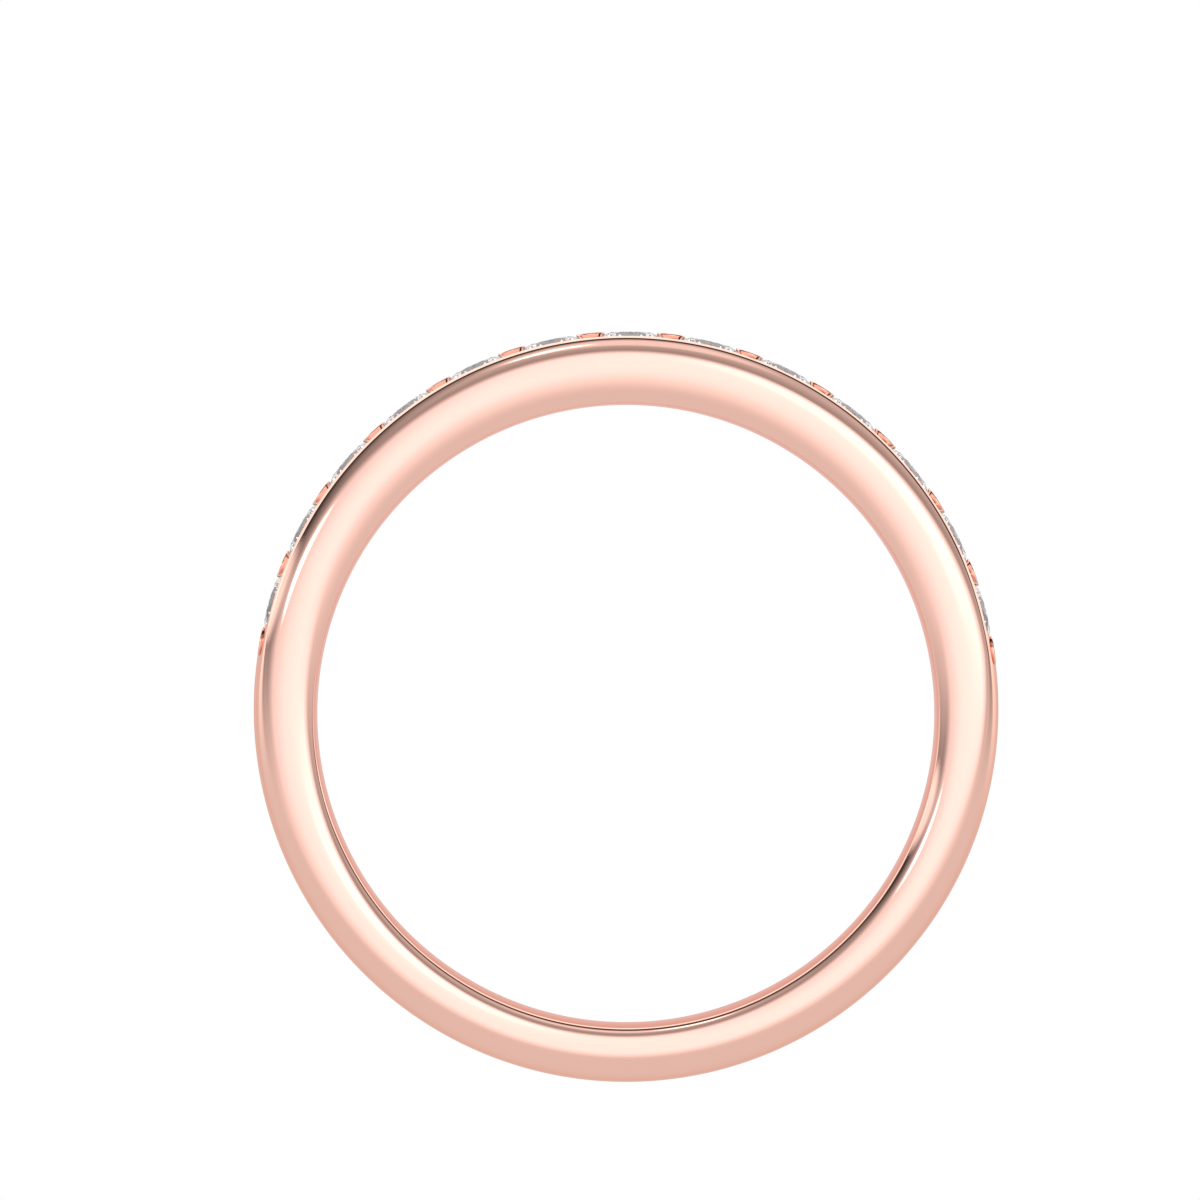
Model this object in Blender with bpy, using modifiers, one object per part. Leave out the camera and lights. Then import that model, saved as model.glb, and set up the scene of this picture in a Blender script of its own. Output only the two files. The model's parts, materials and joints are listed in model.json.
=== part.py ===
"""Half-eternity wedding band: one cast rose gold band and thirteen round brilliant diamonds.

The finger hole is centred on the origin and runs along Y, and the row of stones is centred
on +Z. The sections of the band lie in planes through the axis of its outer round, and their
points are (distance from that axis, y). A turn of the outline's outward normal is counted from
the side's own direction: a quarter turn up is the outside of the ring, a quarter down the inside.
"""

from math import asin, cos, pi, radians, sin, sqrt, tan

import bmesh
import bpy

MM = 0.001

# Band
FINGER_DIAMETER = 17.3 * MM
BASE_THICKNESS = 1.58 * MM  # metal at the bottom, opposite the stones
HEAD_WALL = 0.74 * MM  # metal between the finger hole and the deepest drilling, at the top
SEATING_LAND = 0.12 * MM  # flat ring on each side, on which the band lies
SHOULDER_ANGLE = radians(98)  # over which the set section turns into the plain one

# Plain section: a low dome that rolls over into the sides. The lower radius is below the land.
DOME_TURN = radians(70)
ROLL_RADIUS = 1.15 * MM
ROLL_TURN = radians(22)
PLAIN_SIDE_RADIUS = 0.42 * MM
PLAIN_LOWER_RADIUS = 1.48 * MM
PLAIN_INNER_RADIUS = 0.13 * MM

# Set section: a cut floor between two thin rails
TABLE_DROP = 0.065 * MM  # tables below the outer round, at the top
SET_RISE = 0.09 * MM  # centre of the stones' round above the centre of the outer round
RAIL_DROP = 0.138 * MM  # edge of a rail below the tables
RAIL_TOP = 0.058 * MM
RAIL_TURN = radians(60)
CREASE_RADIUS = 0.15 * MM
SIDE_TURN = radians(19)
SET_SIDE_RADIUS = 1.98 * MM
SET_LOWER_RADIUS = 1.35 * MM
SET_INNER_RADIUS = 0.08 * MM
DOME_PROUD = 0.03 * MM  # uncut metal above the tables, at and past the ends of the row
FLOOR_RISE = 0.04 * MM  # cut floor above the girdles
CUT_WALL = 0.15 * MM  # width of the sloping wall of the cut
CUT_PAST_STONE = radians(0.6)  # the cut runs this far past the middle of the last stone
RUN_OUT_ANGLE = radians(2.8)  # over which the floor rises into the uncut metal

# Stones: round brilliants
STONE_COUNT = 13
STONE_DIAMETER = 2.0 * MM
STONE_GAP = 0.186 * MM
TABLE_RATIO = 0.60
STAR_LENGTH = 0.5  # share of the way from the table to the girdle
LOWER_HALF_REACH = 0.23  # share of the way from the point to the girdle
CROWN_ANGLE = radians(34.5)
PAVILION_ANGLE = radians(40.75)
GIRDLE_THICKNESS = 0.03 * MM
FACETS = 8

# Seats and beads
SEAT_CLEARANCE = 0.03 * MM
BEAD_CLEARANCE = 0.018 * MM  # between a bead and the crown under it; less than the seat's
PILOT_DIAMETER = 1.0 * MM
PILOT_CLEARANCE = 0.08 * MM  # drilling below the point of a stone
BEAD_LENGTH = 0.80 * MM  # along the row, at the bead's top
BEAD_WIDTH = 0.50 * MM
BEAD_NECK = 0.64 * MM  # along the row, from the edge of the rail down
BEAD_CORNER = 0.04 * MM
BEAD_CROWN = 0.015 * MM  # swell of a bead's top
BEAD_INSET = 0.16 * MM  # between a bead and the edge of its rail
BEAD_ROOT = 0.20 * MM  # bead carried down into the metal, below the girdles

# Colours
GOLD_COLOR = (0.86, 0.52, 0.42)
DIAMOND_COLOR = (0.93, 0.95, 0.97)

# Fineness of the meshes
BAND_SECTIONS = 64
DOME_STEPS = 3
ROLL_STEPS = 3
ARC_STEPS = 2  # on each smaller arc of a section
SEAT_SIDES = 24
BEAD_SIDES = 10
BEAD_CORNER_STEPS = 2
SMOOTH_ANGLE = radians(30)
FLAT_ANGLE = radians(0.2)
MERGE = 0.000001

# Worked out from the sizes above
FINGER_RADIUS = FINGER_DIAMETER / 2
STONE_RADIUS = STONE_DIAMETER / 2
TABLE_RADIUS = STONE_RADIUS * TABLE_RATIO
CROWN_HEIGHT = (STONE_RADIUS - TABLE_RADIUS) * tan(CROWN_ANGLE)
PAVILION_DEPTH = STONE_RADIUS * tan(PAVILION_ANGLE)
STONE_DEPTH = CROWN_HEIGHT + GIRDLE_THICKNESS + PAVILION_DEPTH
HEAD_THICKNESS = TABLE_DROP + STONE_DEPTH + PILOT_CLEARANCE + HEAD_WALL
OUTER_RADIUS = FINGER_RADIUS + (BASE_THICKNESS + HEAD_THICKNESS) / 2
OUTER_CENTRE = (HEAD_THICKNESS - BASE_THICKNESS) / 2
SET_CENTRE = OUTER_CENTRE + SET_RISE
TABLE_ROUND = OUTER_RADIUS - TABLE_DROP - SET_RISE
GIRDLE_ROUND = TABLE_ROUND - CROWN_HEIGHT
STONE_PITCH = (STONE_DIAMETER + STONE_GAP) / GIRDLE_ROUND
ROW_END = STONE_PITCH * STONE_COUNT / 2
CUT_END = STONE_PITCH * (STONE_COUNT - 1) / 2 + CUT_PAST_STONE
SEAT_RADIUS = STONE_RADIUS + SEAT_CLEARANCE
RAIL_RUN = RAIL_TOP * sin(RAIL_TURN)
CREASE_RUN = CREASE_RADIUS * (cos(SIDE_TURN) - cos(RAIL_TURN))
SIDE_RUN = SET_SIDE_RADIUS * (1 - cos(SIDE_TURN))
HALF_WIDTH = SEAT_RADIUS + RAIL_RUN + CREASE_RUN + SIDE_RUN
ROLL_RUN = ROLL_RADIUS * (cos(ROLL_TURN) - cos(DOME_TURN))
PLAIN_SIDE_RUN = PLAIN_SIDE_RADIUS * (1 - cos(ROLL_TURN))
DOME_RADIUS = (HALF_WIDTH - ROLL_RUN - PLAIN_SIDE_RUN) / cos(DOME_TURN)
FLOOR_STEPS = DOME_STEPS + ROLL_STEPS - ARC_STEPS - 2  # gives both sections as many points


def smooth_step(value):
    value = min(max(value, 0), 1)
    return value * value * (3 - 2 * value)


def reach(radius, rise, angle):
    """From the outer round's axis to a round whose own axis lies rise above it."""
    across = rise * sin(angle)
    return rise * cos(angle) + sqrt(radius * radius - across * across)


def arc(start, radius, turn_from, turn_to, steps):
    """Points that follow start, while the outward normal turns from one angle to another."""
    points = []
    for step in range(1, steps + 1):
        turn = turn_from + (turn_to - turn_from) * step / steps
        out = start[0] + radius * (sin(turn) - sin(turn_from))
        across = start[1] + radius * (cos(turn) - cos(turn_from))
        points.append((out, across))
    return points


def lower_side(start, side_radius, inner_radius, inside):
    """The seating land, the side below it and the inner corner, down to the finger hole."""
    land_end = (start[0] - SEATING_LAND, start[1])
    fall = land_end[0] - inside
    lean = (fall - inner_radius) / (side_radius - inner_radius)
    turn = asin(min(max(lean, 0), 1))
    side = arc(land_end, side_radius, 0, -turn, ARC_STEPS)
    corner = arc(side[-1], inner_radius, -turn, -pi / 2, ARC_STEPS)
    corner[-1] = (inside, corner[-1][1])
    return [land_end] + side + corner


def plain_outline(inside):
    """Half of the plain section, from its crest to the finger hole."""
    points = [(OUTER_RADIUS, 0)]
    points += arc(points[-1], DOME_RADIUS, pi / 2, DOME_TURN, DOME_STEPS)
    points += arc(points[-1], ROLL_RADIUS, DOME_TURN, ROLL_TURN, ROLL_STEPS)
    points += arc(points[-1], PLAIN_SIDE_RADIUS, ROLL_TURN, 0, ARC_STEPS)
    return points + lower_side(points[-1], PLAIN_LOWER_RADIUS, PLAIN_INNER_RADIUS, inside)


def set_outline(inside, tables, cut):
    """Half of the set section. The floor is fully cut at 1, and an uncut dome at 0."""
    crest = tables + DOME_PROUD
    edge = tables - RAIL_DROP
    floor = tables - CROWN_HEIGHT + FLOOR_RISE
    floor_edge = SEAT_RADIUS - CUT_WALL
    points = []
    for step in range(FLOOR_STEPS + 1):
        across = floor_edge * step / FLOOR_STEPS
        dome = crest - (crest - edge) * (across / SEAT_RADIUS) ** 2
        points.append((dome + (floor - dome) * cut, across))
    points.append((edge, SEAT_RADIUS))
    points.append((edge - RAIL_TOP * cos(RAIL_TURN), SEAT_RADIUS + RAIL_RUN))
    points += arc(points[-1], CREASE_RADIUS, RAIL_TURN, SIDE_TURN, ARC_STEPS)
    points += arc(points[-1], SET_SIDE_RADIUS, SIDE_TURN, 0, ARC_STEPS)
    return points + lower_side(points[-1], SET_LOWER_RADIUS, SET_INNER_RADIUS, inside)


def section(angle):
    """The whole outline at an angle from the top of the ring."""
    from_top = abs(angle)
    inside = reach(FINGER_RADIUS, -OUTER_CENTRE, angle)
    tables = reach(TABLE_ROUND, SET_RISE, angle)
    cut = 1 - smooth_step((from_top - CUT_END) / RUN_OUT_ANGLE)
    share = 1 - smooth_step(sqrt(max(from_top - ROW_END, 0) / SHOULDER_ANGLE))
    half = []
    for plain, cut_one in zip(plain_outline(inside), set_outline(inside, tables, cut)):
        out = plain[0] + (cut_one[0] - plain[0]) * share
        across = plain[1] + (cut_one[1] - plain[1]) * share
        half.append((out, across))
    mirrored = [(out, -across) for out, across in reversed(half[1:])]
    return half + mirrored


def new_object(name, mesh, collection, parent=None):
    made = bpy.data.objects.new(name, mesh)
    made.parent = parent
    collection.objects.link(made)
    return made


def new_empty(name, height, collection):
    empty = new_object(name, None, collection)
    empty.location = (0, 0, height)
    return empty


def new_cutter(name, mesh, collection, parent):
    cutter = new_object(name, mesh, collection, parent)
    cutter.hide_render = True
    cutter.display_type = "WIRE"
    return cutter


def place_on_round(made, radius, angle, across=0):
    """Stand an object on a round about its parent, leaning out by an angle from the top."""
    made.location = (radius * sin(angle), across, radius * cos(angle))
    made.rotation_euler = (0, angle, 0)


def band_mesh():
    """The band before it is cut, lofted through its sections."""
    mesh = bpy.data.meshes.new("band")
    shape = bmesh.new()
    rings = []
    for number in range(BAND_SECTIONS):
        angle = 2 * pi * number / BAND_SECTIONS
        if angle > pi:
            angle -= 2 * pi
        ring = []
        for out, across in section(angle):
            place = (out * sin(angle), across, OUTER_CENTRE + out * cos(angle))
            ring.append(shape.verts.new(place))
        rings.append(ring)
    for number, ring in enumerate(rings):
        following = rings[(number + 1) % BAND_SECTIONS]
        for point in range(len(ring)):
            after = (point + 1) % len(ring)
            shape.faces.new((ring[point], ring[after], following[after], following[point]))
    bmesh.ops.recalc_face_normals(shape, faces=shape.faces)
    shape.to_mesh(mesh)
    shape.free()
    mesh.shade_smooth()
    mesh.set_sharp_from_angle(angle=SMOOTH_ANGLE)
    return mesh


def ring_points(shape, radius, height, count, first_angle):
    """Points of a stone's outline, all on one level."""
    for step in range(count):
        angle = first_angle + 2 * pi * step / count
        shape.verts.new((radius * cos(angle), radius * sin(angle), height))


def stone_mesh():
    """A brilliant about the middle of its girdle, its table up and two table edges along X."""
    half_facet = pi / FACETS
    girdle_top = GIRDLE_THICKNESS / 2
    table = girdle_top + CROWN_HEIGHT
    table_flat = TABLE_RADIUS * cos(half_facet)
    star_radius = table_flat + (STONE_RADIUS - table_flat) * STAR_LENGTH
    star = table - (star_radius * cos(half_facet) - TABLE_RADIUS) * tan(CROWN_ANGLE)
    half_radius = STONE_RADIUS * LOWER_HALF_REACH
    half_drop = (STONE_RADIUS - half_radius * cos(half_facet)) * tan(PAVILION_ANGLE)
    mesh = bpy.data.meshes.new("brilliant")
    shape = bmesh.new()
    ring_points(shape, TABLE_RADIUS, table, FACETS, half_facet)
    ring_points(shape, star_radius, star, FACETS, 0)
    ring_points(shape, STONE_RADIUS, girdle_top, 2 * FACETS, 0)
    ring_points(shape, STONE_RADIUS, -girdle_top, 2 * FACETS, 0)
    ring_points(shape, half_radius, -girdle_top - half_drop, FACETS, 0)
    shape.verts.new((0, 0, -girdle_top - PAVILION_DEPTH))
    bmesh.ops.convex_hull(shape, input=shape.verts)
    bmesh.ops.dissolve_limit(
        shape, angle_limit=FLAT_ANGLE, verts=shape.verts, edges=shape.edges
    )
    bmesh.ops.recalc_face_normals(shape, faces=shape.faces)
    shape.to_mesh(mesh)
    shape.free()
    return mesh


def profile_mesh(name, points):
    """An open profile in the XZ plane, listed from its top down."""
    mesh = bpy.data.meshes.new(name)
    edges = [(number, number + 1) for number in range(len(points) - 1)]
    mesh.from_pydata([(out, 0, height) for out, height in points], edges, [])
    return mesh


def add_screw(made, sides):
    screw = made.modifiers.new("Turned", "SCREW")
    screw.steps = sides
    screw.render_steps = sides
    screw.use_merge_vertices = True
    screw.merge_threshold = MERGE


def seat_profile():
    """Drilling and seat for one stone, about the middle of its girdle."""
    bearing = -GIRDLE_THICKNESS / 2 - SEAT_CLEARANCE / cos(PAVILION_ANGLE)
    pilot = PILOT_DIAMETER / 2
    pilot_top = bearing - (SEAT_RADIUS - pilot) * tan(PAVILION_ANGLE)
    bottom = -GIRDLE_THICKNESS / 2 - PAVILION_DEPTH - PILOT_CLEARANCE
    top = CROWN_HEIGHT + STONE_RADIUS
    return [(0, top), (SEAT_RADIUS, top), (SEAT_RADIUS, bearing), (pilot, pilot_top),
            (pilot, bottom), (0, bottom)]


def bead_profile():
    """One bead, narrower below, with its length across and its top at the level of the tables."""
    half = BEAD_LENGTH / 2
    neck = BEAD_NECK / 2
    points = [(0, BEAD_CROWN)]
    for step in range(BEAD_CORNER_STEPS + 1):
        turn = pi / 2 * (1 - step / BEAD_CORNER_STEPS)
        out = half - BEAD_CORNER + BEAD_CORNER * cos(turn)
        points.append((out, BEAD_CORNER * (sin(turn) - 1)))
    bottom = -CROWN_HEIGHT - BEAD_ROOT
    return points + [(neck, -RAIL_DROP), (neck, bottom), (0, bottom)]


def add_boolean(made, operation, operand):
    """Cut an object with, or join it to, the objects of a collection."""
    change = made.modifiers.new(operation.title(), "BOOLEAN")
    change.operation = operation
    change.operand_type = "COLLECTION"
    change.collection = operand
    change.solver = "EXACT"


def new_collection(name, parent):
    made = bpy.data.collections.new(name)
    parent.children.link(made)
    return made


def new_material(name, color, roughness, metallic):
    material = bpy.data.materials.new(name)
    material.use_nodes = True
    shader = material.node_tree.nodes["Principled BSDF"]
    shader.inputs["Base Color"].default_value = (*color, 1)
    shader.inputs["Roughness"].default_value = roughness
    shader.inputs["Metallic"].default_value = metallic
    return material


def stone_angles():
    first = -STONE_PITCH * (STONE_COUNT - 1) / 2
    return [first + STONE_PITCH * number for number in range(STONE_COUNT)]


def bead_places():
    """Angle and y of each bead: two between neighbours and two past each end of the row."""
    across = SEAT_RADIUS - BEAD_INSET - BEAD_WIDTH / 2
    places = []
    for number in range(STONE_COUNT + 1):
        angle = -ROW_END + STONE_PITCH * number
        places += [(angle, -across), (angle, across)]
    return places


def add_diamonds(collection, row_axis, mesh):
    girdle_middle = GIRDLE_ROUND - GIRDLE_THICKNESS / 2
    material = new_material("diamond", DIAMOND_COLOR, 0.02, 0)
    mesh.materials.append(material)
    for number, angle in enumerate(stone_angles(), start=1):
        stone = new_object(f"diamond_{number:02d}", mesh, collection, row_axis)
        place_on_round(stone, girdle_middle, angle)


def add_band(collection, cutters, row_axis, inflated_mesh):
    """The loft, less a seat for each stone, plus the beads that are pushed over their crowns."""
    seats = new_collection("seats", cutters)
    crowns = new_collection("crowns", cutters)
    beads = new_collection("beads", cutters)
    girdle_middle = GIRDLE_ROUND - GIRDLE_THICKNESS / 2
    seat_mesh = profile_mesh("seat", seat_profile())
    for number, angle in enumerate(stone_angles(), start=1):
        seat = new_cutter(f"seat_{number:02d}", seat_mesh, seats, row_axis)
        add_screw(seat, SEAT_SIDES)
        place_on_round(seat, girdle_middle, angle)
        crown = new_cutter(f"crown_{number:02d}", inflated_mesh, crowns, row_axis)
        place_on_round(crown, girdle_middle, angle)
    bead_mesh = profile_mesh("bead", bead_profile())
    for number, (angle, across) in enumerate(bead_places(), start=1):
        bead = new_cutter(f"bead_{number:02d}", bead_mesh, beads, row_axis)
        add_screw(bead, BEAD_SIDES)
        place_on_round(bead, TABLE_ROUND, angle, across)
        bead.scale = (1, BEAD_WIDTH / BEAD_LENGTH, 1)
    band = new_object("band", band_mesh(), collection)
    add_boolean(band, "DIFFERENCE", seats)
    add_boolean(band, "UNION", beads)
    add_boolean(band, "DIFFERENCE", crowns)
    band.data.materials.append(new_material("rose_gold", GOLD_COLOR, 0.08, 1))


def main():
    for old in list(bpy.data.objects):
        bpy.data.objects.remove(old)
    scene = bpy.context.scene.collection
    ring = new_collection("wedding_band", scene)
    cutters = new_collection("cutters", scene)
    row_axis = new_empty("row_axis", SET_CENTRE, ring)
    mesh = stone_mesh()
    inflated = mesh.copy()
    scale = 1 + BEAD_CLEARANCE / STONE_RADIUS
    for vertex in inflated.vertices:
        vertex.co *= scale
    add_band(ring, cutters, row_axis, inflated)
    add_diamonds(ring, row_axis, mesh)


main()
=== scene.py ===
"""Looks of a half-eternity wedding band: polished rose gold and thirteen round brilliants.

The finger hole is centred on the origin and runs along Y, and the row of stones is centred
on +Z. The sections of the band lie in planes through the axis of its outer round, and their
points are (distance from that axis, y). A turn of the outline's outward normal is counted from
the side's own direction: a quarter turn up is the outside of the ring, a quarter down the inside.
"""

import json
from math import asin, cos, pi, radians, sin, sqrt, tan

import bmesh
import bpy
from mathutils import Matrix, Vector

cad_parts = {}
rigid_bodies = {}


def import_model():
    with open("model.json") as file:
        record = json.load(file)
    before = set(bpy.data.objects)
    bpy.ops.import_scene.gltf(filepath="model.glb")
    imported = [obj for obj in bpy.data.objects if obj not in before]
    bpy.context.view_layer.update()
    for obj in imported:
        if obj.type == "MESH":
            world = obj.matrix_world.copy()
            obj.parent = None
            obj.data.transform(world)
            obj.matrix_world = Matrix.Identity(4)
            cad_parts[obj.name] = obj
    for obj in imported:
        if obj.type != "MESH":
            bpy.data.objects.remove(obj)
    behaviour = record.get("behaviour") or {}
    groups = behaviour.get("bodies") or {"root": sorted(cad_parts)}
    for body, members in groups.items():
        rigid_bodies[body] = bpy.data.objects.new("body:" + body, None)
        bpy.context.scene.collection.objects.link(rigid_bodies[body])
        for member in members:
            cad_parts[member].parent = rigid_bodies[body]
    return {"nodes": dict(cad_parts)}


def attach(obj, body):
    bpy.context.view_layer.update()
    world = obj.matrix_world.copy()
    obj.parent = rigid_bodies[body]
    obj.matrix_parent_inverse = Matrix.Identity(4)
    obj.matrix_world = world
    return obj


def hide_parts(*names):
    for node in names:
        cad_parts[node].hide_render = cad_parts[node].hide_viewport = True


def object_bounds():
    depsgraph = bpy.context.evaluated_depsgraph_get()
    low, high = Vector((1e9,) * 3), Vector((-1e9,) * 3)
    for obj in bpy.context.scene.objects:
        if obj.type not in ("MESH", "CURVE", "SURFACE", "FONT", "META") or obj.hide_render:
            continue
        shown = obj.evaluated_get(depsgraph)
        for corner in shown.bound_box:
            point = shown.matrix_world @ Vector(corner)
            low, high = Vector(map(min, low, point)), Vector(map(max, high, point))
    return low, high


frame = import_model()
cad_low, cad_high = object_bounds()

MM = 0.001
WHITE = (1, 1, 1, 1)

# Band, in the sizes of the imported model
FINGER_RADIUS = 8.65 * MM
BASE_THICKNESS = 1.58 * MM  # metal at the bottom, opposite the stones
HEAD_WALL = 0.74 * MM  # metal between the finger hole and the deepest drilling, at the top
SEATING_LAND = 0.12 * MM  # flat ring on each side, on which the band lies
SHOULDER_ANGLE = radians(98)  # over which the set section turns into the plain one

# Plain section: a low dome that rolls over into the sides. The lower radius is below the land.
DOME_TURN = radians(70)
ROLL_RADIUS = 1.15 * MM
ROLL_TURN = radians(22)
PLAIN_SIDE_RADIUS = 0.42 * MM
PLAIN_LOWER_RADIUS = 1.48 * MM
PLAIN_INNER_RADIUS = 0.13 * MM

# Set section: a cut floor between two thin rails
TABLE_DROP = 0.065 * MM  # tables below the outer round, at the top
SET_RISE = 0.09 * MM  # centre of the stones' round above the centre of the outer round
RAIL_DROP = 0.138 * MM  # edge of a rail below the tables
RAIL_TOP = 0.058 * MM
RAIL_TURN = radians(60)
CREASE_RADIUS = 0.15 * MM
SIDE_TURN = radians(19)
SET_SIDE_RADIUS = 1.98 * MM
SET_LOWER_RADIUS = 1.35 * MM
SET_INNER_RADIUS = 0.08 * MM
DOME_PROUD = 0.03 * MM  # uncut metal above the tables, at and past the ends of the row
FLOOR_RISE = 0.04 * MM  # cut floor above the girdles
CUT_WALL = 0.15 * MM  # width of the sloping wall of the cut
CUT_PAST_STONE = radians(0.6)  # the cut runs this far past the middle of the last stone
RUN_OUT_ANGLE = radians(2.8)  # over which the floor rises into the uncut metal

# Stones: round brilliants
STONE_COUNT = 13
STONE_RADIUS = 1.0 * MM
STONE_GAP = 0.186 * MM
TABLE_RADIUS = 0.6 * MM
STAR_LENGTH = 0.5  # share of the way from the table to the girdle
LOWER_HALF_REACH = 0.23  # share of the way from the point to the girdle
CROWN_ANGLE = radians(34.5)
PAVILION_ANGLE = radians(40.75)
GIRDLE_THICKNESS = 0.03 * MM
FACETS = 8

# Seats and beads
SEAT_CLEARANCE = 0.03 * MM
BEAD_CLEARANCE = 0.018 * MM  # between a bead and the crown under it; less than the seat's
PILOT_RADIUS = 0.5 * MM
PILOT_CLEARANCE = 0.08 * MM  # drilling below the point of a stone
BEAD_LENGTH = 0.80 * MM  # along the row, at the bead's top
BEAD_WIDTH = 0.50 * MM
BEAD_NECK = 0.64 * MM  # along the row, from the edge of the rail down
BEAD_CORNER = 0.04 * MM
BEAD_CROWN = 0.015 * MM  # swell of a bead's top
BEAD_INSET = 0.16 * MM  # between a bead and the edge of its rail
BEAD_ROOT = 0.20 * MM  # bead carried down into the metal, below the girdles

# Fineness of the meshes
BAND_SECTIONS = 360
DOME_STEPS = 8
ROLL_STEPS = 8
SIDE_STEPS = 6
CREASE_STEPS = 6
CORNER_STEPS = 6
SEAT_SIDES = 64
BEAD_SIDES = 32
BEAD_CORNER_STEPS = 6
SMOOTH_ANGLE = radians(30)
FLAT_ANGLE = radians(0.2)
MERGE = 0.0000005

# Rose gold
GOLD_DEEP = (0.85, 0.52, 0.432, 1)
GOLD_PALE = (0.87, 0.532, 0.442, 1)
EDGE_TINT = (0.93, 0.70, 0.62, 1)  # colour of reflections at a grazing angle
CLOUD_SCALE = 350.0  # patches of about 3 mm, in which colour and polish drift
CLOUD_RANGE = (0.3, 0.7)  # part of the noise over which the polish changes
POLISH = (0.03, 0.06)  # roughness where the polish is best and where it is least
HAIRLINE_SCALE = 24000.0
HAIRLINE_STRETCH = (1.0, 0.06, 1.0)  # draws the hairlines out across the band
HAIRLINE_DETAIL = 2.0
HAIRLINE_STRENGTH = 0.02
HAIRLINE_DEPTH = 0.01 * MM

# Drilled metal under the stones: a rougher finish, and a dark colour that is painted shade
SEAT_SHADE_COLOR = (0.24, 0.09, 0.065, 1)
SEAT_ROUGHNESS = 0.45
SEAT_MARGIN = 0.01 * MM  # kept clear of the girdles and added past the seats' sides

DIAMOND_INDEX = 2.42

# The studio's features, by their angle in degrees from the direction that the near side faces.
# A pair is the angles over which one feature gives way to the next.
LIGHT_LEVEL = 1.65  # wide soft light in front
LIGHT_EDGE = (17, 23)
FRAME_LEVEL = 0.45  # dark frame of the soft light
FRAME_EDGE = (25, 33)
WALL_LEVEL = 0.72  # pale wall
FLOOR_GLOW = 1.55  # soft light spread on the floor
FLOOR_FADE = (0, 58)
FLOOR_LEVEL = 0.9
GAP_SHARE = 0.08  # of the wall's level, in the dark gap past the wall
GAP_START = (40, 55)
STRIP_SHARE = 2.4  # of the wall's level, in the bright strip overhead
STRIP_START = (82, 100)
BACKDROP_SHARE = 1.3
BACKDROP_START = (128, 140)
ROUND_TILT = radians(14)  # the gap and the strip lie this much further round on the right
SIDE_STRETCH = 0.55  # the soft light and its frame reach further to the sides than up
BLUE_TINT = 1.04  # the soft light is a little cooler than the rest
BRIGHTER_RIGHT = 1.65
BRIGHTER_UP = -0.15
BACK = (158, 168)  # over which the backdrop turns rose
BACK_TINT = (0.95, 0.66, 0.60)
HORIZON = (-0.3, 0.35)  # heights over which the floor gives way to the lights
STONE_LIGHT = (1.38, 1.44, 1.50, 1)  # white tent that lights the stones through their facets
STONE_DARK_LEVEL = 0.05  # the tent's dark opening, round the direction of the near side
STONE_DARK = (34, 44)
TINY = 0.00001  # keeps a division from failing straight in front and straight behind

# Small lights: angle from the front, position angle from the right, half width round the ring,
# half height along its section (all in degrees) and brightness
SPOTS = (
    (35, 103, 4, 1.5, 1.9),
    (24, 159, 4, 3, 1.6),
    (17, 44, 9, 8, 0.2),
    (36, 90, 14, 5, 0.4),
    (60, 164, 6.5, 25, 1.2),
    (98, 16, 7, 14, 1.0),
)
SPOT_END = 1.6  # square of the distance from a small light's middle, in its half sizes
SPOT_FULL = 0.5

FLOOR_RADIUS = 1.2
FLOOR_SEGMENTS = 96
FLOOR_STRENGTH = 1.0

CAMERA_DISTANCE = 155 * MM
CAMERA_HEIGHT = 3.18 * MM
CAMERA_SIDE = -0.763 * MM
CAMERA_ROLL = radians(-0.7)
CAMERA_FIELD = radians(12.31)
CAMERA_NEAR = 5 * MM
CAMERA_FAR = 3.0

# Most bounces of light. The stones need many, because light turns back and forth inside them.
ALL_BOUNCES = 24
GLOSSY_BOUNCES = 16
TRANSMISSION_BOUNCES = 24

# Worked out from the sizes above
CROWN_HEIGHT = (STONE_RADIUS - TABLE_RADIUS) * tan(CROWN_ANGLE)
PAVILION_DEPTH = STONE_RADIUS * tan(PAVILION_ANGLE)
STONE_DEPTH = CROWN_HEIGHT + GIRDLE_THICKNESS + PAVILION_DEPTH
HEAD_THICKNESS = TABLE_DROP + STONE_DEPTH + PILOT_CLEARANCE + HEAD_WALL
OUTER_RADIUS = FINGER_RADIUS + (BASE_THICKNESS + HEAD_THICKNESS) / 2
OUTER_CENTRE = (HEAD_THICKNESS - BASE_THICKNESS) / 2
SET_CENTRE = OUTER_CENTRE + SET_RISE
TABLE_ROUND = OUTER_RADIUS - TABLE_DROP - SET_RISE
GIRDLE_ROUND = TABLE_ROUND - CROWN_HEIGHT
STONE_PITCH = (2 * STONE_RADIUS + STONE_GAP) / GIRDLE_ROUND
ROW_END = STONE_PITCH * STONE_COUNT / 2
CUT_END = STONE_PITCH * (STONE_COUNT - 1) / 2 + CUT_PAST_STONE
SEAT_RADIUS = STONE_RADIUS + SEAT_CLEARANCE
RAIL_RUN = RAIL_TOP * sin(RAIL_TURN)
CREASE_RUN = CREASE_RADIUS * (cos(SIDE_TURN) - cos(RAIL_TURN))
SIDE_RUN = SET_SIDE_RADIUS * (1 - cos(SIDE_TURN))
HALF_WIDTH = SEAT_RADIUS + RAIL_RUN + CREASE_RUN + SIDE_RUN
ROLL_RUN = ROLL_RADIUS * (cos(ROLL_TURN) - cos(DOME_TURN))
PLAIN_SIDE_RUN = PLAIN_SIDE_RADIUS * (1 - cos(ROLL_TURN))
DOME_RADIUS = (HALF_WIDTH - ROLL_RUN - PLAIN_SIDE_RUN) / cos(DOME_TURN)
FLOOR_STEPS = DOME_STEPS + ROLL_STEPS - CREASE_STEPS - 2  # gives both sections as many points


def smooth_step(value):
    value = min(max(value, 0), 1)
    return value * value * (3 - 2 * value)


def reach(radius, rise, angle):
    """From the outer round's axis to a round whose own axis lies rise above it."""
    across = rise * sin(angle)
    return rise * cos(angle) + sqrt(radius * radius - across * across)


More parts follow.
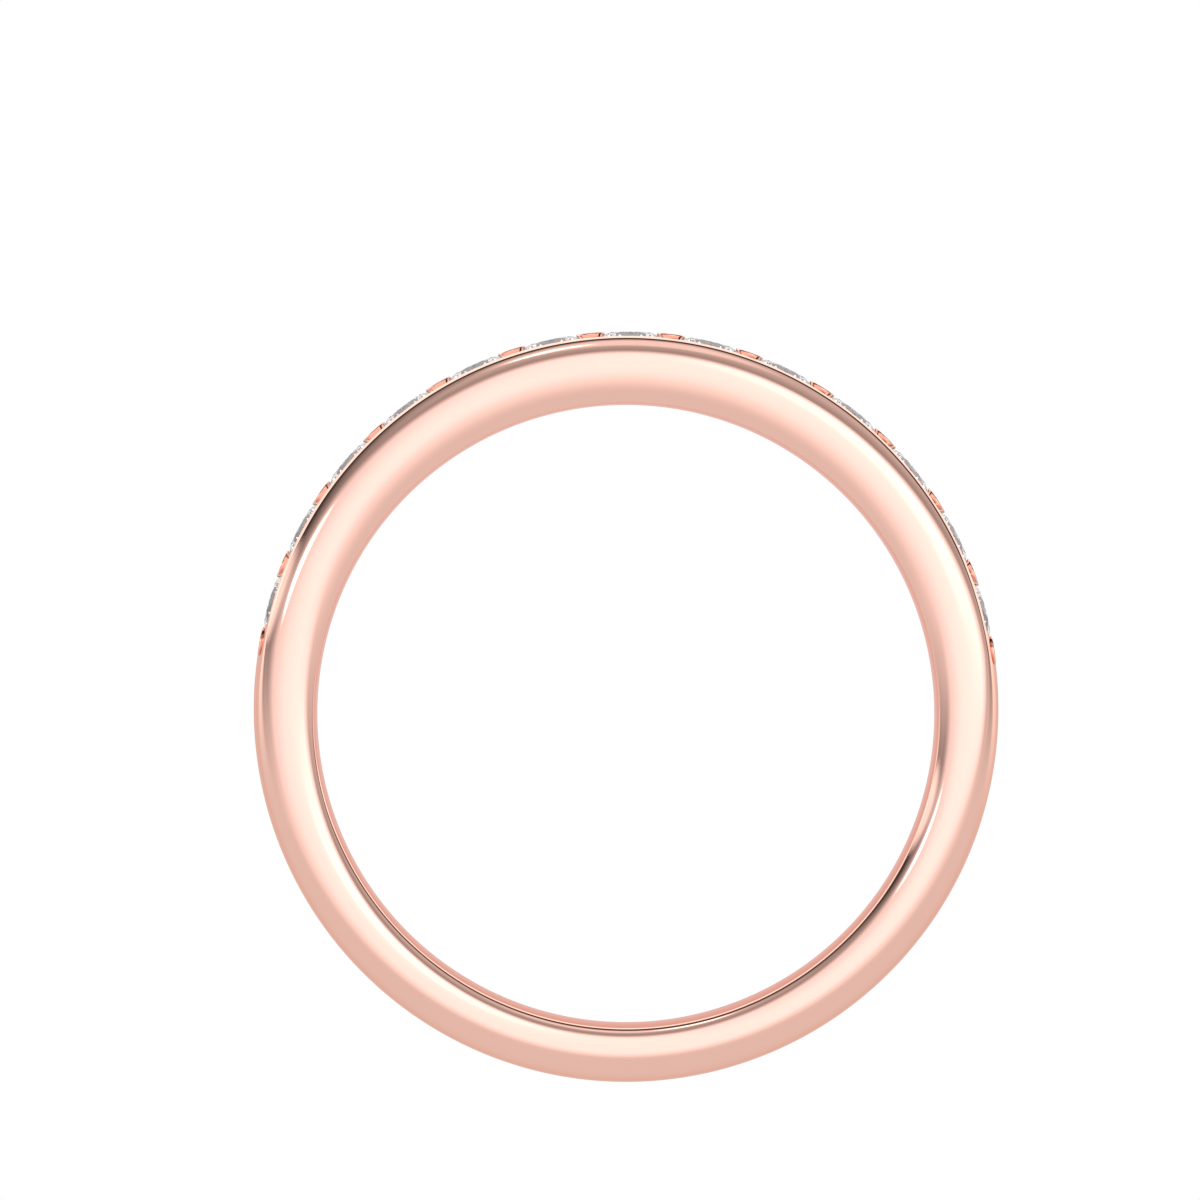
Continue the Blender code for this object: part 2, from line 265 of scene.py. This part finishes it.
def arc(start, radius, turn_from, turn_to, steps):
    """Points that follow start, while the outward normal turns from one angle to another."""
    points = []
    for step in range(1, steps + 1):
        turn = turn_from + (turn_to - turn_from) * step / steps
        out = start[0] + radius * (sin(turn) - sin(turn_from))
        across = start[1] + radius * (cos(turn) - cos(turn_from))
        points.append((out, across))
    return points


def lower_side(start, side_radius, inner_radius, inside):
    """The seating land, the side below it and the inner corner, down to the finger hole."""
    land_end = (start[0] - SEATING_LAND, start[1])
    fall = land_end[0] - inside
    lean = (fall - inner_radius) / (side_radius - inner_radius)
    turn = asin(min(max(lean, 0), 1))
    side = arc(land_end, side_radius, 0, -turn, SIDE_STEPS)
    corner = arc(side[-1], inner_radius, -turn, -pi / 2, CORNER_STEPS)
    corner[-1] = (inside, corner[-1][1])
    return [land_end] + side + corner


def plain_outline(inside):
    """Half of the plain section, from its crest to the finger hole."""
    points = [(OUTER_RADIUS, 0)]
    points += arc(points[-1], DOME_RADIUS, pi / 2, DOME_TURN, DOME_STEPS)
    points += arc(points[-1], ROLL_RADIUS, DOME_TURN, ROLL_TURN, ROLL_STEPS)
    points += arc(points[-1], PLAIN_SIDE_RADIUS, ROLL_TURN, 0, SIDE_STEPS)
    return points + lower_side(points[-1], PLAIN_LOWER_RADIUS, PLAIN_INNER_RADIUS, inside)


def set_outline(inside, tables, cut):
    """Half of the set section. The floor is fully cut at 1, and an uncut dome at 0."""
    crest = tables + DOME_PROUD
    edge = tables - RAIL_DROP
    floor = tables - CROWN_HEIGHT + FLOOR_RISE
    floor_edge = SEAT_RADIUS - CUT_WALL
    points = []
    for step in range(FLOOR_STEPS + 1):
        across = floor_edge * step / FLOOR_STEPS
        dome = crest - (crest - edge) * (across / SEAT_RADIUS) ** 2
        points.append((dome + (floor - dome) * cut, across))
    points.append((edge, SEAT_RADIUS))
    points.append((edge - RAIL_TOP * cos(RAIL_TURN), SEAT_RADIUS + RAIL_RUN))
    points += arc(points[-1], CREASE_RADIUS, RAIL_TURN, SIDE_TURN, CREASE_STEPS)
    points += arc(points[-1], SET_SIDE_RADIUS, SIDE_TURN, 0, SIDE_STEPS)
    return points + lower_side(points[-1], SET_LOWER_RADIUS, SET_INNER_RADIUS, inside)


def section(angle):
    """The whole outline at an angle from the top of the ring."""
    from_top = abs(angle)
    inside = reach(FINGER_RADIUS, -OUTER_CENTRE, angle)
    tables = reach(TABLE_ROUND, SET_RISE, angle)
    cut = 1 - smooth_step((from_top - CUT_END) / RUN_OUT_ANGLE)
    share = 1 - smooth_step(sqrt(max(from_top - ROW_END, 0) / SHOULDER_ANGLE))
    half = []
    for plain, cut_one in zip(plain_outline(inside), set_outline(inside, tables, cut)):
        out = plain[0] + (cut_one[0] - plain[0]) * share
        across = plain[1] + (cut_one[1] - plain[1]) * share
        half.append((out, across))
    mirrored = [(out, -across) for out, across in reversed(half[1:])]
    return half + mirrored


def new_piece(name, data, collection):
    made = bpy.data.objects.new(name, data)
    collection.objects.link(made)
    return made


def place_on_round(made, radius, angle, across=0):
    """Stand an object on a round about the row's axis, leaning out by an angle from the top."""
    made.location = (radius * sin(angle), across, SET_CENTRE + radius * cos(angle))
    made.rotation_euler = (0, angle, 0)


def loft_mesh():
    """The band before it is cut: its sections at even steps all the way round, joined up."""
    mesh = bpy.data.meshes.new("band_gold")
    shape = bmesh.new()
    rings = []
    for number in range(BAND_SECTIONS):
        angle = 2 * pi * number / BAND_SECTIONS
        if angle > pi:
            angle -= 2 * pi
        ring = []
        for out, across in section(angle):
            place = (out * sin(angle), across, OUTER_CENTRE + out * cos(angle))
            ring.append(shape.verts.new(place))
        rings.append(ring)
    for number, ring in enumerate(rings):
        following = rings[(number + 1) % BAND_SECTIONS]
        for point in range(len(ring)):
            after = (point + 1) % len(ring)
            shape.faces.new((ring[point], ring[after], following[after], following[point]))
    bmesh.ops.recalc_face_normals(shape, faces=shape.faces)
    shape.to_mesh(mesh)
    shape.free()
    return mesh


def ring_points(shape, radius, height, count, first_angle):
    """Points of a stone's outline, all on one level."""
    for step in range(count):
        angle = first_angle + 2 * pi * step / count
        shape.verts.new((radius * cos(angle), radius * sin(angle), height))


def stone_mesh():
    """A brilliant about the middle of its girdle, its table up and two table edges along X."""
    half_facet = pi / FACETS
    girdle_top = GIRDLE_THICKNESS / 2
    table = girdle_top + CROWN_HEIGHT
    table_flat = TABLE_RADIUS * cos(half_facet)
    star_radius = table_flat + (STONE_RADIUS - table_flat) * STAR_LENGTH
    star = table - (star_radius * cos(half_facet) - TABLE_RADIUS) * tan(CROWN_ANGLE)
    half_radius = STONE_RADIUS * LOWER_HALF_REACH
    half_drop = (STONE_RADIUS - half_radius * cos(half_facet)) * tan(PAVILION_ANGLE)
    mesh = bpy.data.meshes.new("brilliant")
    shape = bmesh.new()
    ring_points(shape, TABLE_RADIUS, table, FACETS, half_facet)
    ring_points(shape, star_radius, star, FACETS, 0)
    ring_points(shape, STONE_RADIUS, girdle_top, 2 * FACETS, 0)
    ring_points(shape, STONE_RADIUS, -girdle_top, 2 * FACETS, 0)
    ring_points(shape, half_radius, -girdle_top - half_drop, FACETS, 0)
    shape.verts.new((0, 0, -girdle_top - PAVILION_DEPTH))
    bmesh.ops.convex_hull(shape, input=shape.verts)
    bmesh.ops.dissolve_limit(
        shape, angle_limit=FLAT_ANGLE, verts=shape.verts, edges=shape.edges
    )
    bmesh.ops.recalc_face_normals(shape, faces=shape.faces)
    shape.to_mesh(mesh)
    shape.free()
    return mesh


def profile_mesh(name, points):
    """An open profile in the XZ plane, listed from its top down."""
    mesh = bpy.data.meshes.new(name)
    edges = [(number, number + 1) for number in range(len(points) - 1)]
    mesh.from_pydata([(out, 0, height) for out, height in points], edges, [])
    return mesh


def add_screw(made, sides):
    screw = made.modifiers.new("Turned", "SCREW")
    screw.steps = sides
    screw.render_steps = sides
    screw.use_merge_vertices = True
    screw.merge_threshold = MERGE


def seat_profile():
    """Drilling and seat for one stone, about the middle of its girdle."""
    bearing = -GIRDLE_THICKNESS / 2 - SEAT_CLEARANCE / cos(PAVILION_ANGLE)
    pilot_top = bearing - (SEAT_RADIUS - PILOT_RADIUS) * tan(PAVILION_ANGLE)
    bottom = -GIRDLE_THICKNESS / 2 - PAVILION_DEPTH - PILOT_CLEARANCE
    top = CROWN_HEIGHT + STONE_RADIUS
    return [(0, top), (SEAT_RADIUS, top), (SEAT_RADIUS, bearing), (PILOT_RADIUS, pilot_top),
            (PILOT_RADIUS, bottom), (0, bottom)]


def bead_profile():
    """One bead, its length across and its top at the level of the tables."""
    half = BEAD_LENGTH / 2
    neck = BEAD_NECK / 2
    points = [(0, BEAD_CROWN)]
    for step in range(BEAD_CORNER_STEPS + 1):
        turn = pi / 2 * (1 - step / BEAD_CORNER_STEPS)
        out = half - BEAD_CORNER + BEAD_CORNER * cos(turn)
        points.append((out, BEAD_CORNER * (sin(turn) - 1)))
    bottom = -CROWN_HEIGHT - BEAD_ROOT
    return points + [(neck, -RAIL_DROP), (neck, bottom), (0, bottom)]


def add_boolean(made, operation, operand):
    change = made.modifiers.new(operation.title(), "BOOLEAN")
    change.operation = operation
    change.operand_type = "COLLECTION"
    change.collection = operand
    change.solver = "MANIFOLD"


def new_collection(name):
    made = bpy.data.collections.new(name)
    bpy.context.scene.collection.children.link(made)
    return made


def stone_angles():
    first = -STONE_PITCH * (STONE_COUNT - 1) / 2
    return [first + STONE_PITCH * number for number in range(STONE_COUNT)]


def bead_places():
    """Angle and y of each bead: two between neighbours and two past each end of the row."""
    across = SEAT_RADIUS - BEAD_INSET - BEAD_WIDTH / 2
    places = []
    for number in range(STONE_COUNT + 1):
        angle = -ROW_END + STONE_PITCH * number
        places += [(angle, -across), (angle, across)]
    return places


def add_stone_cutters(seats, crowns):
    """A seat, and a stone enlarged by the beads' clearance, at each stone's place."""
    seat_mesh = profile_mesh("seat", seat_profile())
    enlarged = stone_mesh()
    scale = 1 + BEAD_CLEARANCE / STONE_RADIUS
    for vertex in enlarged.vertices:
        vertex.co *= scale
    girdle_middle = GIRDLE_ROUND - GIRDLE_THICKNESS / 2
    for number, angle in enumerate(stone_angles(), start=1):
        seat = new_piece(f"seat_{number:02d}", seat_mesh, seats)
        add_screw(seat, SEAT_SIDES)
        place_on_round(seat, girdle_middle, angle)
        crown = new_piece(f"crown_{number:02d}", enlarged, crowns)
        place_on_round(crown, girdle_middle, angle)


def add_beads(beads):
    bead_mesh = profile_mesh("bead", bead_profile())
    for number, (angle, across) in enumerate(bead_places(), start=1):
        bead = new_piece(f"bead_{number:02d}", bead_mesh, beads)
        add_screw(bead, BEAD_SIDES)
        place_on_round(bead, TABLE_ROUND, angle, across)
        bead.scale = (1, BEAD_WIDTH / BEAD_LENGTH, 1)


def remove_collection(collection):
    for made in list(collection.objects):
        bpy.data.objects.remove(made)
    bpy.data.collections.remove(collection)


def make_band():
    """The loft, less a seat for each stone, plus the beads that are pushed over their crowns."""
    seats, crowns, beads = [new_collection(name) for name in ("seats", "crowns", "beads")]
    add_stone_cutters(seats, crowns)
    add_beads(beads)
    band = new_piece("band_gold", loft_mesh(), bpy.context.scene.collection)
    add_boolean(band, "DIFFERENCE", seats)
    add_boolean(band, "UNION", beads)
    add_boolean(band, "DIFFERENCE", crowns)
    bpy.context.view_layer.update()
    evaluated = band.evaluated_get(bpy.context.evaluated_depsgraph_get())
    mesh = bpy.data.meshes.new_from_object(evaluated)
    band.modifiers.clear()
    band.data = mesh
    for collection in (seats, crowns, beads):
        remove_collection(collection)
    mesh.shade_smooth()
    mesh.set_sharp_from_angle(angle=SMOOTH_ANGLE)
    return band


# Nodes

def add_node(tree, kind, **settings):
    node = tree.nodes.new(kind)
    for name, value in settings.items():
        setattr(node, name, value)
    return node


def connect(tree, value, socket):
    """Sets a socket to a number or vector, or links another socket to it."""
    if isinstance(value, bpy.types.NodeSocket):
        tree.links.new(value, socket)
    else:
        socket.default_value = value


def math_node(tree, operation, first, second=0.0):
    node = add_node(tree, "ShaderNodeMath", operation=operation)
    connect(tree, first, node.inputs[0])
    connect(tree, second, node.inputs[1])
    return node.outputs[0]


def plus(tree, first, second):
    return math_node(tree, "ADD", first, second)


def times(tree, first, second):
    return math_node(tree, "MULTIPLY", first, second)


def square(tree, value):
    return times(tree, value, value)


def dot(tree, vector, fixed):
    node = add_node(tree, "ShaderNodeVectorMath", operation="DOT_PRODUCT")
    connect(tree, vector, node.inputs[0])
    node.inputs[1].default_value = fixed
    return node.outputs["Value"]


def components(tree, vector):
    node = add_node(tree, "ShaderNodeSeparateXYZ")
    connect(tree, vector, node.inputs[0])
    return node.outputs


def map_range(tree, value, low, high, to_low, to_high, smooth=True):
    node = add_node(tree, "ShaderNodeMapRange")
    node.interpolation_type = "SMOOTHSTEP" if smooth else "LINEAR"
    for socket, given in zip(node.inputs, (value, low, high, to_low, to_high)):
        connect(tree, given, socket)
    return node.outputs[0]


def mix(tree, kind, share, first, second):
    """The first value where share is 0 and the second where it is 1; kind is FLOAT or RGBA."""
    node = add_node(tree, "ShaderNodeMix", data_type=kind)
    for name, value in (("Factor", share), ("A", first), ("B", second)):
        connect(tree, value, node.inputs[name])
    return node.outputs["Result"]


def noise(tree, vector, scale, detail=3.0):
    node = add_node(tree, "ShaderNodeTexNoise")
    connect(tree, vector, node.inputs["Vector"])
    node.inputs["Scale"].default_value = scale
    node.inputs["Detail"].default_value = detail
    return node.outputs["Fac"]


# Materials

def new_material(name):
    material = bpy.data.materials.new(name)
    material.use_nodes = True
    return material, material.node_tree


def inside_seats(tree, place):
    """1 on the drilled surfaces below the girdles: a polishing wheel doesn't reach them, so they
    are rougher, and their dark colour is painted shade.
    """
    side, depth, height = components(tree, place)
    above = math_node(tree, "SUBTRACT", height, SET_CENTRE)
    out = math_node(tree, "SQRT", plus(tree, square(tree, side), square(tree, above)))
    bottom = GIRDLE_ROUND - PAVILION_DEPTH - 2 * PILOT_CLEARANCE
    below = math_node(tree, "LESS_THAN", out, GIRDLE_ROUND - SEAT_MARGIN)
    over = math_node(tree, "GREATER_THAN", out, bottom)
    across = math_node(tree, "ABSOLUTE", depth)
    within = math_node(tree, "LESS_THAN", across, SEAT_RADIUS + SEAT_MARGIN)
    return times(tree, times(tree, below, over), within)


def hairline_normal(tree, place):
    stretch = add_node(tree, "ShaderNodeMapping")
    connect(tree, place, stretch.inputs["Vector"])
    stretch.inputs["Scale"].default_value = HAIRLINE_STRETCH
    lines = noise(tree, stretch.outputs["Vector"], HAIRLINE_SCALE, HAIRLINE_DETAIL)
    bump = add_node(tree, "ShaderNodeBump")
    bump.inputs["Strength"].default_value = HAIRLINE_STRENGTH
    bump.inputs["Distance"].default_value = HAIRLINE_DEPTH
    connect(tree, lines, bump.inputs["Height"])
    return bump.outputs["Normal"]


def gold_material():
    """Polished rose gold with the faint haze and hairlines of a worn polish, and painted shade in
    the drilled seats.
    """
    material, tree = new_material("rose_gold_polish")
    shader = tree.nodes["Principled BSDF"]
    shader.inputs["Metallic"].default_value = 1.0
    shader.inputs["Specular Tint"].default_value = EDGE_TINT
    place = add_node(tree, "ShaderNodeTexCoord").outputs["Object"]
    cloud = noise(tree, place, CLOUD_SCALE)
    seats = inside_seats(tree, place)
    gold = mix(tree, "RGBA", cloud, GOLD_DEEP, GOLD_PALE)
    # Painted shade: the drilled seats under the stones are coloured dark
    connect(tree, mix(tree, "RGBA", seats, gold, SEAT_SHADE_COLOR), shader.inputs["Base Color"])
    polish = map_range(tree, cloud, *CLOUD_RANGE, *POLISH)
    roughness = map_range(tree, seats, 0.0, 1.0, polish, SEAT_ROUGHNESS)
    connect(tree, roughness, shader.inputs["Roughness"])
    connect(tree, hairline_normal(tree, place), shader.inputs["Normal"])
    return material


def diamond_material():
    """Clear diamond."""
    material, tree = new_material("diamond_clear")
    shader = tree.nodes["Principled BSDF"]
    shader.inputs["Base Color"].default_value = WHITE
    shader.inputs["Roughness"].default_value = 0.0
    shader.inputs["IOR"].default_value = DIAMOND_INDEX
    shader.inputs["Transmission Weight"].default_value = 1.0
    return material


def floor_material():
    """Lit from within, so that the floor stays even."""
    material, tree = new_material("white_floor")
    tree.nodes.remove(tree.nodes["Principled BSDF"])
    glow = add_node(tree, "ShaderNodeEmission")
    glow.inputs["Strength"].default_value = FLOOR_STRENGTH
    connect(tree, glow.outputs["Emission"], tree.nodes["Material Output"].inputs["Surface"])
    return material


def use_material(made, material):
    made.data.materials.clear()
    made.data.materials.append(material)


# Studio

def spot_frame(from_front, position):
    """Direction of a light and the two directions across it."""
    out, lift = sin(from_front), cos(from_front)
    towards = Vector((out * cos(position), -lift, out * sin(position)))
    around = Vector((-sin(position), 0, cos(position)))
    return towards, around, towards.cross(around)


def spot_light(tree, direction, from_front, position, width, height, level):
    towards, around, along = spot_frame(radians(from_front), radians(position))
    across = math_node(tree, "DIVIDE", dot(tree, direction, around), sin(radians(width)))
    down = math_node(tree, "DIVIDE", dot(tree, direction, along), sin(radians(height)))
    distance_square = plus(tree, square(tree, across), square(tree, down))
    glow = map_range(tree, distance_square, SPOT_END, SPOT_FULL, 0.0, level)
    facing = math_node(tree, "GREATER_THAN", dot(tree, direction, towards), 0.0)
    return times(tree, glow, facing)


def blend_over(tree, angle, degrees, before, after, smooth=False):
    """A level that goes from one value to another while the angle passes a pair of degrees."""
    start, end = degrees
    return map_range(tree, angle, radians(start), radians(end), before, after, smooth)


def wall_share(tree, around):
    """The gap, the strip overhead and the backdrop, as shares of the wall's level."""
    gap = blend_over(tree, around, GAP_START, 1.0, GAP_SHARE)
    strip = blend_over(tree, around, STRIP_START, 0.0, STRIP_SHARE - GAP_SHARE)
    backdrop = blend_over(tree, around, BACKDROP_START, 0.0, BACKDROP_SHARE - STRIP_SHARE)
    return plus(tree, plus(tree, gap, strip), backdrop)


def studio_level(tree, direction):
    """Brightness of the studio, share inside the soft light, and angle from the front."""
    side, depth, height = components(tree, direction)
    from_front = math_node(tree, "ARCCOSINE", times(tree, depth, -1.0))
    side_square = square(tree, side)
    height_square = square(tree, height)
    out_square = plus(tree, side_square, plus(tree, height_square, TINY))
    shrunk = plus(tree, times(tree, side_square, SIDE_STRETCH ** 2), height_square)
    shortening = math_node(tree, "SQRT", math_node(tree, "DIVIDE", shrunk, out_square))
    stretched = times(tree, from_front, shortening)
    inside = blend_over(tree, stretched, LIGHT_EDGE, 1.0, 0.0)
    slope = plus(tree, times(tree, side, BRIGHTER_RIGHT), times(tree, height, BRIGHTER_UP))
    rightward = math_node(tree, "DIVIDE", side, math_node(tree, "SQRT", out_square))
    around = math_node(tree, "SUBTRACT", from_front, times(tree, ROUND_TILT, rightward))
    wall = blend_over(tree, stretched, FRAME_EDGE, FRAME_LEVEL, WALL_LEVEL)
    lit = blend_over(tree, stretched, LIGHT_EDGE, LIGHT_LEVEL, wall)
    above = plus(tree, times(tree, lit, wall_share(tree, around)), times(tree, slope, inside))
    floor_light = blend_over(tree, from_front, FLOOR_FADE, FLOOR_GLOW, FLOOR_LEVEL, smooth=True)
    lift = map_range(tree, height, *HORIZON, 0.0, 1.0)
    level = mix(tree, "FLOAT", lift, floor_light, above)
    for spot in SPOTS:
        level = plus(tree, level, spot_light(tree, direction, *spot))
    return level, inside, from_front


def studio_color(tree, level, inside, from_front):
    """The studio's brightness, a little cooler in the soft light and rose at the back."""
    blue = times(tree, level, map_range(tree, inside, 0.0, 1.0, 1.0, BLUE_TINT))
    behind = blend_over(tree, from_front, BACK, 0.0, 1.0, smooth=True)
    color = add_node(tree, "ShaderNodeCombineColor")
    for socket, value, tint in zip(color.inputs, (level, level, blue), BACK_TINT):
        share = map_range(tree, behind, 0.0, 1.0, 1.0, tint, smooth=False)
        connect(tree, times(tree, value, share), socket)
    return color.outputs["Color"]


def background(tree, color, strength=1.0):
    node = add_node(tree, "ShaderNodeBackground")
    connect(tree, color, node.inputs["Color"])
    connect(tree, strength, node.inputs["Strength"])
    return node.outputs[0]


def either(tree, share, first, second):
    """The first shader where share is 0 and the second where it is 1."""
    node = add_node(tree, "ShaderNodeMixShader")
    for socket, value in zip(node.inputs, (share, first, second)):
        connect(tree, value, socket)
    return node.outputs[0]


def make_world():
    """The studio for reflections, a white tent for light through the stones, and white behind."""
    world = bpy.data.worlds.new("studio")
    bpy.context.scene.world = world
    world.use_nodes = True
    tree = world.node_tree
    tree.nodes.clear()
    direction = add_node(tree, "ShaderNodeTexCoord").outputs["Generated"]
    level, inside, from_front = studio_level(tree, direction)
    studio = background(tree, studio_color(tree, level, inside, from_front))
    opening = blend_over(tree, from_front, STONE_DARK, STONE_DARK_LEVEL, 1.0, smooth=True)
    tent = background(tree, STONE_LIGHT, opening)
    path = add_node(tree, "ShaderNodeLightPath")
    lights = either(tree, path.outputs["Is Transmission Ray"], studio, tent)
    seen = either(tree, path.outputs["Is Camera Ray"], lights, background(tree, WHITE))
    output = add_node(tree, "ShaderNodeOutputWorld")
    connect(tree, seen, output.inputs["Surface"])


def make_floor():
    """A white floor just under the ring, left out of the ring's reflections."""
    mesh = bpy.data.meshes.new("studio_floor")
    shape = bmesh.new()
    bmesh.ops.create_circle(shape, cap_ends=True, radius=FLOOR_RADIUS, segments=FLOOR_SEGMENTS)
    shape.to_mesh(mesh)
    shape.free()
    floor = new_piece("studio_floor", mesh, bpy.context.scene.collection)
    floor.location.z = cad_low.z
    use_material(floor, floor_material())
    floor.visible_glossy = False
    floor.visible_transmission = False
    floor.visible_diffuse = False


def make_camera():
    data = bpy.data.cameras.new("camera")
    data.sensor_fit = "HORIZONTAL"
    data.angle = CAMERA_FIELD
    data.clip_start = CAMERA_NEAR
    data.clip_end = CAMERA_FAR
    camera = new_piece("camera", data, bpy.context.scene.collection)
    camera.location = (CAMERA_SIDE, -CAMERA_DISTANCE, CAMERA_HEIGHT)
    camera.rotation_euler = (pi / 2, CAMERA_ROLL, 0)
    bpy.context.scene.camera = camera


def finish_band():
    band = make_band()
    use_material(band, gold_material())
    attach(band, "root")
    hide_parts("band")


def finish_stones():
    clear = diamond_material()
    for number in range(1, STONE_COUNT + 1):
        stone = frame["nodes"][f"diamond_{number:02d}"]
        use_material(stone, clear)


make_camera()
make_world()
make_floor()
finish_band()
finish_stones()

scene = bpy.context.scene
scene.view_settings.view_transform = "Standard"
scene.cycles.max_bounces = ALL_BOUNCES
scene.cycles.glossy_bounces = GLOSSY_BOUNCES
scene.cycles.transmission_bounces = TRANSMISSION_BOUNCES
